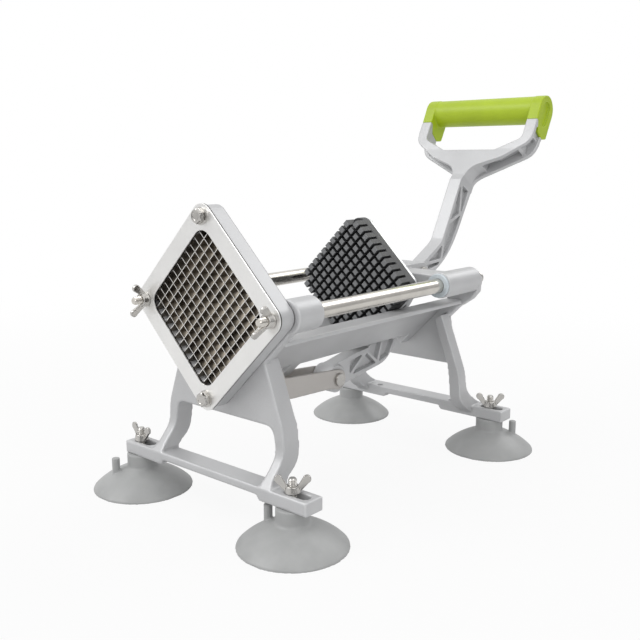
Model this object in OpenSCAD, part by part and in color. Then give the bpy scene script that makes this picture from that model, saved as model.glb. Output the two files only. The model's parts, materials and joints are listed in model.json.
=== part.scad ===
// Lever-operated french fry cutter on four suction feet.
// Millimetres, +Z up. z = 0 is the rim of the suction cups, x = 0 the mid-plane and
// y = 0 the front face of the blade cover. The potato travels towards -Y.

/* [Blade cassette] */
// Number of chips across the blade grid
cells = 12; // [8:2:12]
// Pitch of the blades, the width of one chip
pitch = 7; // [6:0.5:7.5]
// Thickness of one blade
blade_t = 0.8; // [0.5:0.1:1]
// Depth of the blades along the travel
blade_h = 9; // [6:0.5:10]
// Width of the cover plate's rim around the blade opening
cover_rim = 13; // [12:0.5:16]
// Thickness of the cover plate
cover_t = 2; // [1:0.5:3]
// Depth of the cast blade holder
holder_t = 13.5; // [12.5:0.5:18]
// Radius of the cassette's outer corners
corner_r = 10; // [6:1:14]

/* [Frame] */
// Height of the blade centre and of the guide rods
axis_z = 156; // [150:1:170]
// Length of the frame between the outer faces of its two end plates
frame_l = 246; // [246:1:280]
// Thickness of the front flange
flange_t = 7; // [5:0.5:8]
// Thickness of the rear plate
rear_t = 8; // [6:0.5:10]
// Thickness of the panels between the legs
panel_t = 5; // [4:0.5:7]
// Height of the lower edge of those panels
panel_z = 76.5; // [70:0.5:80]
// Wall of the V-shaped trough
trough_wall = 4; // [3:0.5:5]
// Thickness of the trough's flat rims
rim_t = 3.5; // [2.5:0.5:5]
// Distance from the mid-plane to the outer edge of a rim
rim_x = 57; // [50:1:60]

/* [Guide rods] */
// Diameter of the guide rods
rod_d = 12; // [10:1:14]
// Distance from the corner of the cassette in to a rod's axis
rod_inset = 12.8; // [12:0.2:16]
// Outer diameter of the bosses around the rods
boss_d = 24; // [20:1:26]
// Length of the front bosses behind the flange
boss_l = 18.5; // [10:0.5:24]
// Diameter of the studs, bolts and feet screws
stud_d = 6; // [5:0.5:6]

/* [Feet] */
// Half length of the foot bars
bar_half = 96.5; // [92:0.5:104]
// Width of the foot bars
bar_w = 17.6; // [16:0.2:22]
// Height of the top of the foot bars
bar_z = 38.4; // [36:0.2:44]
// Thickness of the bars' end pads
pad_t = 9.9; // [7:0.1:12]
// Distance a foot bar stands out beyond the end of the frame
bar_reach = 17.1; // [14:0.1:20]
// Depth of the front legs along the frame
front_leg_t = 16; // [14:0.5:18]
// Depth of the rear legs along the frame
rear_leg_t = 12; // [10:0.5:14]
// Width of the slots in the pads
slot_w = 8; // [7:0.5:9]
// Radius of a suction cup's rim
cup_r = 39.4; // [34:0.2:42]
// Radius of a suction cup's neck
neck_r = 12; // [10:0.5:13]
// Height of the studs' ends above the floor
foot_stud_z = 49; // [48:0.5:56]

/* [Carriage] */
// Travel of the pusher
travel = 158; // [120:1:158]
// Outer diameter of the sleeves
sleeve_d = 22; // [20:0.5:23]
// Thickness of the bushings' flanges
bush_flange_t = 3; // [2:0.5:4]
// Radial running clearance of rods and pins
run_gap = 0.05; // [0.02:0.01:0.1]
// Length of the pusher's pins
pin_l = 11; // [8:0.5:12]
// Width of the grooves between the pins
groove_w = 2.4; // [1.8:0.1:2.8]
// Thickness of the pusher block behind its pins
block_t = 8; // [5:0.5:9]
// Thickness of the backing plate
backing_t = 3; // [2:0.5:4]

/* [Lever] */
// Distance of the lever's pivot behind the sleeves' front faces
pivot_back = 52.7; // [52:0.1:56]
// Distance from the lever's pivot forward to the link pin
link_dy = 115; // [112:1:118]
// Distance from the lever's pivot down to the link pin
link_dz = 77; // [75:1:79]
// Thickness of the lever's flanges
lever_t = 13.2; // [12:0.2:14]
// Thickness of the lever's web
lever_web = 4; // [3:0.5:6]
// Width of the lever's two bosses
hub_w = 18; // [16:0.5:18]
// Radius of the lever's two bosses
hub_r = 11.5; // [10.5:0.5:12]
// Diameter of the lever's pivot pin
pivot_d = 10; // [8:0.5:11]
// Diameter of the link pin
link_pin_d = 8; // [6:0.5:9]

/* [Handle] */
// Angle of the handle yoke above the horizontal
yoke_tilt = 61.5; // [58:0.5:65]
// Half width of the handle
yoke_half = 65; // [60:0.5:70]
// Width of each of the yoke's branches
branch_w = 11; // [9:0.5:13]
// Diameter of the moulded grip
grip_d = 26.8; // [25:0.2:28]
// Diameter of the grip's two ends
cheek_d = 27.6; // [26:0.2:30]

/* [Drag link] */
// Thickness of the link's sheet
sheet_t = 2; // [1.5:0.5:2.5]
// Distance of the front pivot behind the front flange's front face
anchor_dy = 32.5; // [32:0.5:36]
// Height of the front pivot
anchor_z = 89; // [86:0.5:92]
// Diameter of the front pivot's pin
anchor_d = 6; // [5:0.5:7]
// Radius by which the front pivot floats in the link's clearance hole
anchor_float = 8.9; // [8.9:0.1:9.5]

/* [Hidden] */
$fn = 64;

cast = [0.76, 0.77, 0.78];
steel = [0.82, 0.81, 0.79];
rubber = [0.60, 0.61, 0.61];

// Cassette
opening = cells * pitch;
cover_side = opening + 2 * cover_rim;
cover_reach = cover_side / sqrt(2);
rod_x = cover_reach - rod_inset;
opening_r = 10;
flange_lip = 1;             // the flange stands out this far around the cassette
seat_margin = 3;            // the blades reach this far into the holder's recess
fit = 0.1;                  // gap around pieces that are fitted by hand
hole_gap = 0.2;             // radial gap of a screw in its hole
nut_gap = 0.2;              // gap under a wing nut

// Stations along Y
front_y = cover_t + holder_t;
flange_y = front_y + flange_t;
boss_y = flange_y + boss_l;
rear_y = front_y + frame_l;
rear_face_y = rear_y - rear_t;
stop_gap = 0.3;
rod_thread = 10;            // depth of the threaded holes in the rods' rear ends
sleeve_y = boss_y + stop_gap + travel;
sleeve_end_y = rear_face_y - stop_gap;
front_bar_y = front_y - bar_reach + bar_w / 2;
rear_bar_y = rear_y + bar_reach - bar_w / 2;
rear_leg_y = rear_face_y + 0.5;             // the rear legs' outer faces
rear_reach = rear_y + bar_reach - rear_leg_y;
leg_top = 126;
pad_from = [53, 33];                        // inner ends of the front and the rear bar's pads
rear_foot_z = 32.6;                         // the rear legs run into the bar's front face
knee_z = [64, 62];                          // where the front and the rear legs leave the upright
rear_plate_drop = 10;                       // the rear plate ends this far below the rods
seat_x = 46;                                // inner edge of the rods' rear seats
seat_inner = [[10, -24.5], [4, -27.5], [0, -8], [0, 6], [6, 8]];
seat_outer = [[-0.5, 8.3], [4, 5.5], [7.6, 1], [6.4, -11], [0.6, -18]];

// Pusher
field = opening - blade_t - 0.4;
backing_y = sleeve_y - 12.3;
pad_d = 6;                  // depth of the carriage's pad behind the backing plate
bar_back = 20.2;            // the carriage's bar ends this far in front of the sleeves' ends
hub_room = 19;              // and at least this far in front of the lever's pivot
screw_at = 18;              // place of the four screws, from the blade axis
screw_d = 4;
screw_reach = block_t - 2;  // depth of the screws in the pusher block
block_y = backing_y - backing_t;
tip_y = block_y - block_t - pin_l;

// Trough: a V whose inner faces stand just outside the pusher
trough_in = opening / 2 + 0.1;
valley_in = axis_z - trough_in * sqrt(2);
valley_out = valley_in - trough_wall * sqrt(2);
rim_z = axis_z - 19.5;
slot_half = hub_w / 2 + 1;
ear_slot_half = 12;

// Lever and link
pivot_y = sleeve_y + pivot_back;
pivot = [pivot_y, axis_z];
link_rel = [-link_dy, -link_dz];
anchor = [front_y + anchor_dy, anchor_z];
ear_hole = [7.9, 2.9];      // the clearance hole's centre from the anchor pin, at rest
ear_hole_r = anchor_d / 2 + anchor_float;
ear_wall = 3;
side_gap = 0.3;             // gap beside moving cheeks and plates
plate_in = hub_w / 2 + side_gap;
plate_out = plate_in + sheet_t;
cheek_t = 6;
cheek_out = plate_in + cheek_t;
lug_in = plate_out + side_gap;
lug_t = 5;
lug_r = 9;

// Feet: where each stud stands in its slot
slot_from = 71;
slot_to = 92.5;
foot_x = [[-87, 77], [-81, 80]];
foot_y = [front_bar_y, rear_bar_y];
cup_top = bar_z - pad_t;
foot_turn = [[-6, 40], [60, 36]];
tab_turn = [[-122, -173], [140, 37]];

// ---------- Helpers ----------

// Points of a cubic curve from a to d with handles b and c
function curve(a, b, c, d, n = 10) = [for (i = [0:n]) let (t = i / n, s = 1 - t)
    s * s * s * a + 3 * s * s * t * b + 3 * s * t * t * c + t * t * t * d];

// A drawing in X and Z, made solid from y0 to y1
module along_y(y0, y1) {
    translate([0, y1, 0]) rotate([90, 0, 0]) linear_extrude(y1 - y0) children();
}

// A drawing in Y and Z, made solid from x0 to x1
module along_x(x0, x1) {
    translate([x0, 0, 0]) rotate([90, 0, 90]) linear_extrude(x1 - x0) children();
}

module both_sides() {
    children();
    mirror([1, 0, 0]) children();
}

// A round bar along Y, at x and z
module bar_y(d, y0, y1, x, z = axis_z) {
    translate([x, y0, z]) rotate([-90, 0, 0]) cylinder(d = d, h = y1 - y0);
}

// A round bar along X, at a place in Y and Z
module bar_x(d, x0, x1, at) {
    translate([x0, at[0], at[1]]) rotate([0, 90, 0]) cylinder(d = d, h = x1 - x0);
}

module rounded_square(side, r) {
    square([side, side - 2 * r], center = true);
    square([side - 2 * r, side], center = true);
    for (sx = [-1, 1], sy = [-1, 1])
        translate([sx, sy] * (side / 2 - r)) circle(r);
}

// A square standing on its corner, centred on the blade axis
module diamond(side, r) {
    translate([0, axis_z]) rotate(45) rounded_square(side, r);
}

module obround(length, width) {
    square([length - width, width], center = true);
    for (s = [-1, 1]) translate([s * (length - width) / 2, 0]) circle(d = width);
}

// Wing nut standing on z = 0, wings along X
module wing_nut() {
    hub_h = 5;
    wing_t = 2.2;
    tip = [9.7, 9.6];
    tip_r = 2.9;
    difference() {
        union() {
            cylinder(d1 = 11.4, d2 = 9.4, h = hub_h);
            for (s = [0, 180]) rotate(s) translate([0, wing_t / 2, 0]) rotate([90, 0, 0])
                linear_extrude(wing_t) {
                    polygon([[3.6, 0.9], [5.2, 0.7], tip + [2.7, -1], tip, tip + [-1.9, 2.2], [3.6, 4.8]]);
                    translate(tip) circle(tip_r);
                }
        }
        translate([0, 0, -1]) cylinder(d = stud_d + 2 * run_gap, h = hub_h + 2);
    }
}

// Hexagon bolt with its washer on z = 0, shank downwards
module hex_bolt(shank) {
    washer_t = 1.2;
    cylinder(d = 12.4, h = washer_t);
    translate([0, 0, washer_t]) cylinder(d = 11, h = 4, $fn = 6);
    translate([0, 0, -shank]) cylinder(d = stud_d, h = shank + washer_t);
}

// Button-head screw with a hexagon socket, head on z = 0, shank downwards
module socket_screw(head_d, head_h, shank_d, shank) {
    socket = head_h * 0.6;
    difference() {
        union() {
            cylinder(d = head_d, h = head_h);
            translate([0, 0, -shank]) cylinder(d = shank_d, h = shank + head_h / 2);
        }
        translate([0, 0, head_h - socket]) cylinder(d = head_d * 0.5, h = socket + 1, $fn = 6);
    }
}

// ---------- Frame ----------

// Front views of one leg, from the panel's edge out
module front_leg_front() {
    polygon(concat(
        [[64.5, bar_z - 1]],
        curve([62, bar_z + 4], [61, 52], [62.6, 70], [58.6, 80]),
        [[43, 123], [30, 112], [36, panel_z]],
        curve([43, panel_z], [48.5, panel_z], [51.2, 74], [52, 67]),
        curve([52.4, 64], [53.4, 56], [54.4, 48], [52.6, bar_z + 1]),
        [[51, bar_z - 1]]));
}

module rear_leg_front() {
    polygon(concat(
        [[66, rear_foot_z], [66, bar_z]],
        curve([64.8, bar_z + 8], [64.2, 52], [64.6, 68], [60.6, 77]),
        [[43, 123], [36, 118], [50.5, 79]],
        curve([52.6, 67], [53.4, 60], [53.6, 52], [53, bar_z + 1]),
        [[52, rear_foot_z]]));
}

// Side views of the legs, measured inwards from their outer faces
module front_leg_side() {
    polygon(concat(
        [[0, leg_top], [0, knee_z[0]]],
        curve([0, knee_z[0] - 2], [-0.2, 54], [-7, 50], [-bar_reach, bar_z - 1]),
        curve([bar_w - bar_reach, bar_z - 1], [2, 44], [front_leg_t, 44], [front_leg_t, 60]),
        [[front_leg_t, 80], [front_leg_t - 1, leg_top]]));
}

module rear_leg_side() {
    polygon(concat(
        [[0, leg_top], [0, knee_z[1]]],
        curve([0, knee_z[1] - 2], [0, 54], [-8, 46], [-rear_reach, bar_z - 1]),
        curve([bar_w - rear_reach, rear_foot_z], [3, 38], [rear_leg_t, 44], [rear_leg_t, 56]),
        [[rear_leg_t, leg_top]]));
}

// Bar with thicker end pads, seen from the front
module bar_front(pad_x) {
    waist_z = cup_top + 3.8;
    waist_x = pad_x - 3;
    polygon([[-bar_half, cup_top], [-bar_half, bar_z], [bar_half, bar_z], [bar_half, cup_top],
        [pad_x, cup_top], [waist_x, waist_z], [-waist_x, waist_z], [-pad_x, cup_top]]);
}

// Legs, panel and foot bar of one end. Drawn with the legs' outer faces at y = 0, the
// bar `reach` in front of them and the panel's outer face at panel_y. The bar's pads start
// at pad_x. Its children are a leg's side view and front view
module end_stand(reach, panel_y, pad_x) {
    leg_in = 20;
    leg_back = 24;
    difference() {
        union() {
            both_sides() intersection() {
                along_y(-reach, leg_back) children(1);
                along_x(leg_in, bar_half) children(0);
            }
            along_y(panel_y, panel_y + panel_t) both_sides()
                polygon([[0, panel_z], [44, panel_z], [50, 80], [43, 122], [0, 84]]);
            translate([0, bar_w / 2 - reach, 0]) along_y(-bar_w / 2, bar_w / 2) bar_front(pad_x);
        }
        for (s = [-1, 1])
            translate([s * (slot_from + slot_to) / 2, bar_w / 2 - reach, cup_top - 1])
                linear_extrude(pad_t + 2) obround(slot_to - slot_from, slot_w);
    }
}

// Lower half of an end plate, round the chamber
module end_plate(top_z) {
    difference() {
        diamond(cover_side + 2 * flange_lip, corner_r + flange_lip);
        translate([-2 * cover_reach, top_z]) square(4 * cover_reach);
    }
}

module front_frame() {
    color(cast) difference() {
        union() {
            translate([0, front_y, 0]) end_stand(bar_reach, 0, pad_from[0]) {
                front_leg_side();
                front_leg_front();
            }
            along_y(front_y, flange_y) end_plate(axis_z);
            for (s = [-1, 1]) bar_y(boss_d, front_y, boss_y, s * rod_x);
        }
        along_y(front_y - 1, boss_y + 1) diamond(opening + 1, opening_r);
        for (s = [-1, 1]) bar_y(rod_d + 2 * run_gap, front_y - 1, boss_y + 1, s * rod_x);
    }
}

// Many-sided end of a guide rod's rear seat, seen from behind
module rear_seat() {
    polygon(concat([for (p = seat_inner) [seat_x, axis_z] + p], [for (p = seat_outer) [rod_x, axis_z] + p]));
}

module rear_frame() {
    hole_x = 41.5;
    hole_y = rear_bar_y - 3.3;
    hole_d = 6;
    color(cast) difference() {
        union() {
            translate([0, rear_leg_y, 0]) mirror([0, 1, 0])
                end_stand(rear_reach, rear_leg_y - rear_face_y - panel_t, pad_from[1]) {
                    rear_leg_side();
                    rear_leg_front();
                }
            along_y(rear_face_y, rear_y) end_plate(axis_z - rear_plate_drop);
            along_y(rear_face_y, rear_y) both_sides() rear_seat();
        }
        along_y(rear_face_y - 1, rear_y + 1) diamond(opening + 1, opening_r);
        for (s = [-1, 1]) bar_y(stud_d + 2 * hole_gap, rear_face_y - 1, rear_y + 1, s * rod_x);
        for (s = [-1, 1])
            translate([s * hole_x, hole_y, cup_top - 1]) cylinder(d = hole_d, h = pad_t + 2);
    }
}

// Section of the trough's right half
module trough_section() {
    wall_x = rim_z - valley_in;
    polygon([[0, valley_out], [rim_z - rim_t - valley_out, rim_z - rim_t], [rim_x, rim_z - rim_t],
        [rim_x, rim_z], [wall_x, rim_z], [0, valley_in]]);
}

module trough() {
    slot_y0 = flange_y + 66;
    slot_y1 = pivot_y - 12;
    ear_y0 = flange_y + 9;
    ear_y1 = flange_y + 54;
    color(cast) difference() {
        union() {
            along_y(flange_y, rear_face_y) both_sides() trough_section();
            both_sides() along_x(lug_in, lug_in + lug_t) {
                translate(anchor) circle(lug_r);
                translate([anchor[0] - lug_r, anchor[1]])
                    square([2 * lug_r, valley_in + lug_in - anchor[1]]);
            }
        }
        translate([-slot_half, slot_y0, valley_out - 1]) cube([2 * slot_half, slot_y1 - slot_y0, 40]);
        translate([-lug_in, ear_y0, valley_out - 30]) cube([2 * lug_in, ear_y1 - ear_y0, 60]);
        bar_x(anchor_d + 2 * run_gap, -lug_in - lug_t - 1, lug_in + lug_t + 1, anchor);
    }
}

module guide_rod(side) {
    stud_y = -11.5;
    color(steel) difference() {
        union() {
            bar_y(rod_d, front_y, rear_face_y, side * rod_x);
            bar_y(stud_d, stud_y, front_y + 1, side * rod_x);
        }
        bar_y(stud_d, rear_face_y - rod_thread, rear_face_y + 1, side * rod_x);
    }
}

module rod_screw(side) {
    washer_t = 1.2;
    color(steel) translate([side * rod_x, rear_y, axis_z]) rotate([-90, 0, 0]) {
        difference() {
            cylinder(d = 13, h = washer_t);
            translate([0, 0, -1]) cylinder(d = stud_d, h = washer_t + 2);
        }
        translate([0, 0, washer_t]) socket_screw(10.5, 4, stud_d, washer_t + rear_t + rod_thread);
    }
}

// ---------- Blade cassette ----------

module cassette_holes(y0, y1, gap) {
    for (s = [-1, 1]) {
        bar_y(stud_d + 2 * gap, y0, y1, s * rod_x);
        bar_y(stud_d + 2 * gap, y0, y1, 0, axis_z + s * rod_x);
    }
}

module blade_holder() {
    seat = opening + 2 * seat_margin + 2 * fit;
    color(cast) difference() {
        along_y(cover_t, front_y) diamond(cover_side - 1.6, corner_r);
        along_y(cover_t - 1, front_y + 1) diamond(opening, opening_r);
        along_y(cover_t - 1, cover_t + blade_h + 2 * fit) diamond(seat, 3);
        cassette_holes(cover_t - 1, front_y + 1, hole_gap);
    }
}

module blades() {
    length = opening + 2 * seat_margin;
    color(steel) along_y(cover_t + fit, cover_t + fit + blade_h) translate([0, axis_z]) rotate(45)
        for (i = [1:cells - 1]) {
            at = i * pitch - opening / 2;
            translate([at, 0]) square([blade_t, length], center = true);
            translate([0, at]) square([length, blade_t], center = true);
        }
}

module cover_plate() {
    color(steel) difference() {
        along_y(0, cover_t) diamond(cover_side, corner_r);
        along_y(-1, cover_t + 1) diamond(opening, opening_r);
        cassette_holes(-1, cover_t + 1, hole_gap);
    }
}

module cover_bolt(side) {
    color(steel) translate([0, 0, axis_z + side * rod_x]) rotate([90, 15, 0]) hex_bolt(front_y - 1);
}

module cover_nut(side) {
    turn = side > 0 ? 116 : 101;
    color(steel) translate([side * rod_x, -nut_gap, axis_z]) rotate([90, turn, 0]) wing_nut();
}

// ---------- Feet ----------

module suction_cup(x, y, turn) {
    lip = 1.4;
    root_z = 11;
    tab_at = 21;
    tab_z = 25.5;
    tab_d = 6.2;
    dome_z = 17.3;
    color(rubber) translate([x, y, 0]) difference() {
        union() {
            rotate_extrude() polygon(concat(
                [[0, root_z], [0, cup_top], [neck_r, cup_top], [neck_r, dome_z + 1.5]],
                curve([neck_r + 0.6, dome_z], [21.5, 14], [31.5, 9], [cup_r - 0.5, lip]),
                [[cup_r, 0], [cup_r - 2, 0]],
                curve([cup_r - 3, 0.6], [28, 5], [18, 8], [0, root_z], 8)));
            rotate(turn) translate([tab_at, 0, root_z]) cylinder(d = tab_d, h = tab_z - root_z);
        }
        translate([0, 0, root_z + 5]) cylinder(d = stud_d, h = cup_top);
    }
}

module foot_stud(x, y) {
    color(steel) translate([x, y, 16]) cylinder(d = stud_d, h = foot_stud_z - 16);
}

module foot_nut(x, y, turn) {
    color(steel) translate([x, y, bar_z + nut_gap]) rotate(turn) wing_nut();
}

// ---------- Carriage ----------

module carriage() {
    bar_y0 = sleeve_y + 6;
    bar_y1 = min(sleeve_end_y - bar_back, pivot_y - hub_room);
    bar_half_h = 8;
    pad_half = screw_at + 8;
    neck_half = 20;
    cheek_y = bar_y1 - 6;
    color(cast) difference() {
        union() {
            for (s = [-1, 1]) bar_y(sleeve_d, sleeve_y + bush_flange_t, sleeve_end_y, s * rod_x);
            translate([-rod_x, bar_y0, axis_z - bar_half_h])
                cube([2 * rod_x, bar_y1 - bar_y0, 2 * bar_half_h]);
            along_y(backing_y, backing_y + pad_d) translate([0, axis_z]) rounded_square(2 * pad_half, 8);
            translate([-neck_half, backing_y + pad_d - 1, axis_z - bar_half_h])
                cube([2 * neck_half, bar_y0 - backing_y, 2 * bar_half_h]);
            both_sides() along_x(plate_in, cheek_out) translate([0, axis_z]) {
                translate([pivot_y, 0]) circle(hub_r);
                translate([cheek_y, -hub_r]) square([pivot_y - cheek_y, 2 * hub_r]);
            }
        }
        for (s = [-1, 1]) bar_y(sleeve_d - 6, sleeve_y, sleeve_end_y + 1, s * rod_x);
        bar_x(pivot_d, -cheek_out - 1, cheek_out + 1, pivot);
        screw_holes(screw_d + 1, backing_y - 1, backing_y + pad_d + 1);
    }
}

// The four holes through backing plate and pad
module screw_holes(d, y0, y1) {
    for (sx = [-1, 1], sz = [-1, 1]) bar_y(d, y0, y1, sx * screw_at, axis_z + sz * screw_at);
}

module bushing(side) {
    color([0.72, 0.76, 0.79]) difference() {
        union() {
            bar_y(sleeve_d - 2, sleeve_y, sleeve_y + bush_flange_t, side * rod_x);
            bar_y(sleeve_d - 6, sleeve_y + 1, sleeve_end_y - 1, side * rod_x);
        }
        bar_y(rod_d + 2 * run_gap, sleeve_y - 1, sleeve_end_y + 1, side * rod_x);
    }
}

module backing_plate() {
    color([0.85, 0.86, 0.87]) difference() {
        along_y(block_y, backing_y) diamond(field - 1, opening_r);
        screw_holes(screw_d + 1, block_y - 1, backing_y + 1);
    }
}

module pusher_block() {
    pin_y = tip_y + pin_l;
    color([0.10, 0.10, 0.11]) difference() {
        along_y(tip_y, block_y) diamond(field, opening_r - 1);
        along_y(tip_y - 1, pin_y) translate([0, axis_z]) rotate(45) {
            for (i = [1:cells - 1]) {
                at = i * pitch - opening / 2;
                translate([at, 0]) square([groove_w, 2 * opening], center = true);
                translate([0, at]) square([2 * opening, groove_w], center = true);
            }
            for (sx = [-1, 1], sy = [-1, 1])
                translate([sx, sy] * opening / 2) square(2 * pitch, center = true);
        }
        screw_holes(screw_d, block_y - screw_reach, block_y + 1);
    }
}

module pusher_screws() {
    color(steel) for (sx = [-1, 1], sz = [-1, 1])
        translate([sx * screw_at, backing_y + pad_d, axis_z + sz * screw_at]) rotate([-90, 0, 0])
            socket_screw(8.5, 3.5, screw_d, pad_d + backing_t + screw_reach);
}

module pivot_pin() {
    color(steel) {
        bar_x(pivot_d, -cheek_out - 1, cheek_out + 1, pivot);
        bar_x(pivot_d + 4, cheek_out, cheek_out + 2.5, pivot);
        bar_x(pivot_d + 4, -cheek_out - 2.5, -cheek_out, pivot);
    }
}

// ---------- Lever ----------

// Places on the lever are measured from its pivot, in Y and Z
top_lift = [89, 81];        // middle of the joint between arm and yoke

// A place on the arm: p along the handle from that joint, front towards its front plate
function on_arm(p, front) = top_lift + p * [cos(yoke_tilt), sin(yoke_tilt)]
    + front * [-sin(yoke_tilt), cos(yoke_tilt)];

module arm_outline() {
    boss = link_rel;
    polygon(concat(
        [boss + [-2, hub_r], boss + [25, 16.5], boss + [46, 18.5], boss + [84, 46], [-16, -25], [-4, -1]],
        curve([41, 23.5], [43, 24.7], [44, 25.5], on_arm(-66, arm_front), 4),
        [on_arm(-2, arm_front), on_arm(14, yoke_front), on_arm(14, 0), on_arm(2, yoke_back + 0.5)],
        curve([84, 50], [73, 31], [61.5, 12], [39, 1]),
        [[0, -23.5], [-8.5, -31]],
        curve([-28.5, -58], [-35, -68], [-40, -75], [-54, -77]),
        [boss + [14, -6.5], boss + [4, -hub_r + 0.5]]));
}

// Recessed field on the side of the lower arm
module lower_field() {
    boss = link_rel;
    polygon([boss + [20, 11], boss + [40, 14.5], boss + [86, 43], boss + [104, 50], boss + [84, 20],
        boss + [76, 7], boss + [61.4, 3.2], boss + [20, -1.5]]);
}

// Recessed field on the side of the upper arm
module upper_field() {
    polygon([[16, 5.2], [40, 18.3], [48, 23], [57, 39], [69, 61.5], [80, 83], [94, 77], [80.5, 51.7],
        [67, 30], [55.5, 14], [40, 4], [22, 1.5]]);
}

module rib(a, b, w = 3) {
    d = b - a;
    translate(a) rotate(atan2(d[1], d[0])) translate([-4, -w / 2]) square([norm(d) + 8, w]);
}

module lever_ribs() {
    boss = link_rel;
    rib(boss + [20, -2], boss + [44, 16]);
    rib(boss + [44, 16], boss + [60, 3]);
    rib(boss + [60, 3], boss + [72, 34]);
    rib(boss + [72, 34], boss + [86, 20]);
    rib([83, 80], [95, 73.5]);
    rib([79.5, 76], [77.5, 53]);
    rib([77, 50.5], [60, 44]);
    rib([50.5, 33], [46.5, 11]);
    rib([44, 8.5], [22, 7]);
}

// Half of the yoke, in X and along the handle from the joint
module yoke_half_outline() {
    hand_x = yoke_half - branch_w;
    polygon(concat(
        [[0, -6], [lever_t / 2, -6]],
        curve([lever_t / 2, 2], [lever_t / 2 + 1, 8], [10, 13], [17, 16.5]),
        [[38.5, 25]],
        curve([yoke_half - 8, 38], [yoke_half - 2, 42], [yoke_half, 46], [yoke_half, 54]),
        [[yoke_half, branch_top], [hand_x, branch_top]],
        curve([hand_x, 52], [hand_x, 47], [hand_x - 1, 46], [hand_x - 4, 44]),
        [[28.5, 33.5], [0, 33.5]]));
}

// The same for the yoke's rear flange, which stands out further below
module yoke_back_outline() {
    hand_x = yoke_half - branch_w;
    polygon(concat(
        [[0, -6], [lever_t / 2, -6]],
        curve([lever_t / 2, 0], [lever_t / 2 + 0.4, 5], [9.3, 8.4], [16, 12], 6),
        curve([yoke_half - 9, 32.6], [yoke_half - 3, 36], [yoke_half, 42], [yoke_half, 54]),
        [[yoke_half, branch_top], [hand_x, branch_top], [hand_x, 50], [28.5, 33.5], [0, 33.5]]));
}

// The channel in a branch, left open outwards
module yoke_channel() {
    out = yoke_half + 2;
    in = yoke_half - 6;
    polygon([[18, 10], [40, 18], [out - 4, 34], [out, 48], [out, 60], [in, 60], [in, 52],
        [in - 6, 41.5], [31, 29], [19, 28]]);
}

module yoke_rib() {
    polygon([[yoke_half - 13, 22], [yoke_half - 10.5, 22], [yoke_half - 10.5, 44], [yoke_half - 13, 44]]);
}

yoke_front = 6;
arm_front = 12;             // the arm's front edge, which the yoke's middle rises to
yoke_back = -13;
yoke_wall = 4;              // thickness of the yoke's front and rear flanges
branch_top = 66;
tang_x = yoke_half - branch_w / 2;
tang_t = 5;
tang_w = 10;
tang_root = 50;
tang_top = 86;
grip_at = [-7, 82.8];       // the grip's axis: across the yoke's plane, and along it
cheek_step = [2.5, -2];     // where the joint line of cheek and branch steps back
cheek_low = [57, 54, 58.5]; // heights of that line behind the step, at the rear flange and behind it

// Places the handle's frame: X across, Y along the handle, Z out of its front
module handle_frame() {
    translate([0, pivot[0] + top_lift[0], pivot[1] + top_lift[1]]) rotate([yoke_tilt, 0, 0]) children();
}

// A drawing across the yoke's plane and along the handle, as thick as a branch, on both sides
module branch_sides(extra = 0) {
    both_sides() translate([yoke_half - branch_w - extra, 0, 0]) rotate([0, -90, 0]) mirror([0, 0, 1])
        linear_extrude(branch_w + 2 * extra) children();
}

// Joint line of cheek and branch, from the front, moved up along the handle by a gap
function joint_line(gap) = [[cheek_step[0] - gap, branch_top + gap],
    [cheek_step[1] - gap, cheek_low[0] + gap],
    [yoke_back, cheek_low[1] + gap]];

module tangs(extra) {
    for (s = [-1, 1])
        translate([s * tang_x - tang_t / 2 - extra, tang_root, grip_at[0] - tang_w / 2 - extra])
            cube([tang_t + 2 * extra, tang_top - tang_root + extra, tang_w + 2 * extra]);
}

module lever() {
    depth = (lever_t - lever_web) / 2;
    color(cast) {
        difference() {
            union() {
                difference() {
                    along_x(-lever_t / 2, lever_t / 2) translate(pivot) arm_outline();
                    for (x0 = [-lever_t / 2 - 1, lever_t / 2 - depth])
                        along_x(x0, x0 + depth + 1) translate(pivot) difference() {
                            union() {
                                lower_field();
                                upper_field();
                            }
                            lever_ribs();
                        }
                }
                bar_x(2 * hub_r, -hub_w / 2, hub_w / 2, pivot);
                bar_x(2 * hub_r, -hub_w / 2, hub_w / 2, pivot + link_rel);
            }
            bar_x(pivot_d + 2 * run_gap, -hub_w, hub_w, pivot);
            bar_x(link_pin_d, -hub_w, hub_w, pivot + link_rel);
        }
        handle_frame() {
            difference() {
                union() {
                    translate([0, 0, yoke_back + yoke_wall])
                        linear_extrude(yoke_front - yoke_back - yoke_wall) both_sides() yoke_half_outline();
                    translate([0, 0, yoke_back]) linear_extrude(yoke_wall) both_sides() yoke_back_outline();
                    intersection() {
                        translate([0, 0, yoke_front - yoke_wall])
                            linear_extrude(arm_front - yoke_front + yoke_wall)
                                both_sides() yoke_half_outline();
                        along_x(-yoke_half, yoke_half)
                            polygon([[-6, 0], [-6, arm_front - 1], [34, yoke_front], [34, 0]]);
                    }
                }
                translate([0, 0, yoke_back + yoke_wall])
                    linear_extrude(yoke_front - yoke_back - 2 * yoke_wall) both_sides() difference() {
                        yoke_channel();
                        yoke_rib();
                    }
                branch_sides(1) polygon(concat([[cheek_step[0], grip_at[1]]], joint_line(0),
                    [[yoke_back - 1, cheek_low[1]], [yoke_back - 1, grip_at[1]]]));
            }
            tangs(0);
        }
    }
}

// Side view of a grip's cheek: across the yoke's plane, and along the handle
module cheek_side() {
    r = cheek_d / 2;
    translate(grip_at) circle(r);
    polygon(concat([grip_at + [r, 0], [yoke_front, branch_top + fit]], joint_line(fit),
        [[grip_at[0] - r, cheek_low[2]], grip_at + [-r, 0]]));
}

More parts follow.
